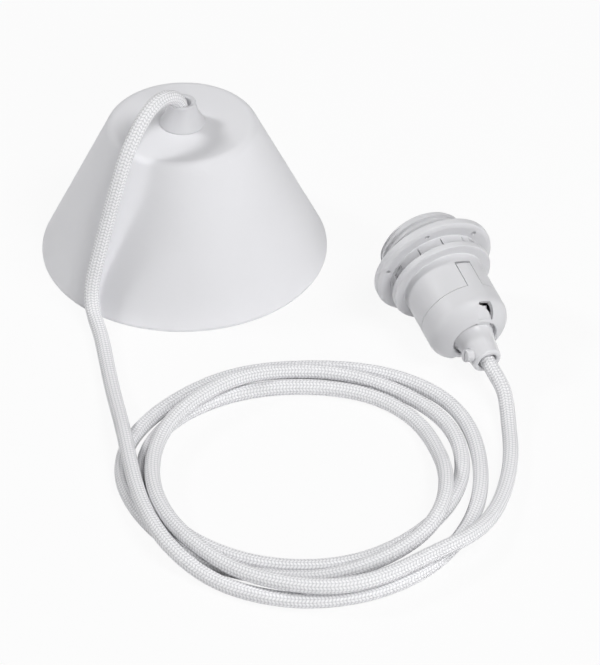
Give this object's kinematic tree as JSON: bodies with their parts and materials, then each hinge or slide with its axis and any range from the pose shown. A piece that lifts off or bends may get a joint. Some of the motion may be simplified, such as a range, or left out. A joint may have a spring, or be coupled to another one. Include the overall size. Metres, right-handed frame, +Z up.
{
  "type": "pendant cord set",
  "caption": "Pendant cord set: conical ceiling cup with a cord grip, a long braided cord laid in loops and a screw lampholder with a shade ring.",
  "frame": {"origin": "on the floor, under the middle of the box around the cup and the lampholder, without the cord", "axes": "+Z up, out of the floor that the cup stands on; +X from the cup to the lampholder; the cord's loops lie towards -Y"},
  "size_m": [0.2187, 0.3306, 0.0961],
  "materials": {
    "matte_white": "matt white moulded plastic",
    "gloss_white": "semi-gloss white moulded plastic",
    "braid_white": "white woven textile sleeve",
    "brass": "plain",
    "steel": "plain",
    "insulator": "off-white",
    "brown_core": "smooth",
    "blue_core": "smooth"
  },
  "bodies": {
    "root": {"ceiling_cup": "matte_white", "cup_cord_grip": "matte_white", "cup_grip_nut": "matte_white", "cord_hook": "matte_white", "cord_hook_screw": "steel", "terminal_block": "insulator", "cup_core_live": "brown_core", "cup_core_neutral": "blue_core", "terminal_screw_1": "steel", "terminal_screw_2": "steel", "terminal_screw_3": "steel", "terminal_screw_4": "steel", "threaded_sleeve": "gloss_white", "shade_ring": "gloss_white", "holder_cap": "gloss_white", "cord_gland": "gloss_white", "gland_clamp_screw": "gloss_white", "screw_shell": "brass", "contact_block": "insulator", "centre_contact": "brass", "side_contact": "brass", "holder_terminal_live": "brass", "holder_terminal_neutral": "brass", "holder_core_live": "brown_core", "holder_core_neutral": "blue_core", "pendant_cord": "braid_white"}
  },
  "joints": []
}
